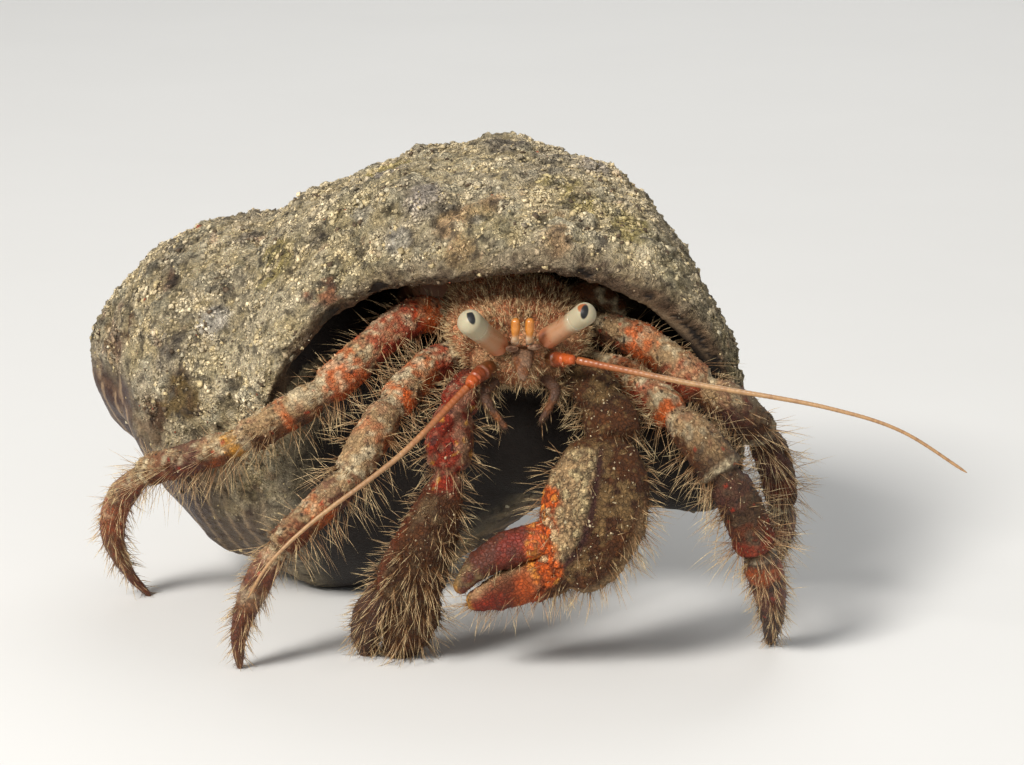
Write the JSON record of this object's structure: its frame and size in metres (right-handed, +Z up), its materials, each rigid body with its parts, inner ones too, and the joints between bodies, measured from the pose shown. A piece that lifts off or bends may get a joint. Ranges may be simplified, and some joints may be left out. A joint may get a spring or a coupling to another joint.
{
  "type": "hermit crab",
  "caption": "Hairy hermit crab standing in its knobbly sea-snail shell, head and legs out under the shell's lip.",
  "frame": {"origin": "middle of the bounding box, on the floor", "axes": "+Z up; the crab faces -Y; its right side is towards -X, where the shell's apex is, and its left side towards +X"},
  "size_m": [0.0962, 0.066, 0.0525],
  "materials": {
    "shell": "rough, sandy crust over a worn snail shell",
    "crust_hairy": "hairy carapace",
    "soft_skin": "soft, matte",
    "eyestalk": "smooth, waxy",
    "cornea": "smooth, wet",
    "mouthparts": "hairy",
    "antennule": "smooth",
    "antenna": "smooth, ringed",
    "dactyl": "bristly, horny",
    "finger": "hard, granular",
    "claw_crust": "granular, sandy, bristly",
    "leg_crust": "granular, sandy, bristly"
  },
  "bodies": {
    "root": {"shell": "shell", "leg_front_right_merus": "leg_crust", "leg_front_right_carpus": "leg_crust", "leg_front_right_propodus": "leg_crust", "leg_front_right_dactyl": "dactyl", "leg_rear_right_merus": "leg_crust", "leg_rear_right_carpus": "leg_crust", "leg_rear_right_propodus": "leg_crust", "leg_rear_right_dactyl": "dactyl", "leg_front_left_merus": "leg_crust", "leg_front_left_carpus": "leg_crust", "leg_front_left_propodus": "leg_crust", "leg_front_left_dactyl": "dactyl", "leg_rear_left_merus": "leg_crust", "leg_rear_left_carpus": "leg_crust", "leg_rear_left_propodus": "leg_crust", "leg_rear_left_dactyl": "dactyl", "claw_right_merus": "claw_crust", "claw_right_carpus": "claw_crust", "claw_right_palm": "claw_crust", "claw_right_finger": "finger", "claw_left_merus": "claw_crust", "claw_left_carpus": "claw_crust", "claw_left_palm": "claw_crust", "claw_left_finger": "finger", "eyestalk_right": "eyestalk", "cornea_right": "cornea", "eyestalk_left": "eyestalk", "cornea_left": "cornea", "antennule_right": "antennule", "antennule_left": "antennule", "antennule_base": "mouthparts", "antenna_base_right": "antenna", "antenna_right": "antenna", "antenna_base_left": "antenna", "antenna_left": "antenna", "maxilliped_right": "mouthparts", "maxilliped_left": "mouthparts", "leg_fourth_right": "leg_crust", "leg_fourth_left": "leg_crust", "trunk": "crust_hairy", "abdomen": "soft_skin"}
  },
  "joints": []
}
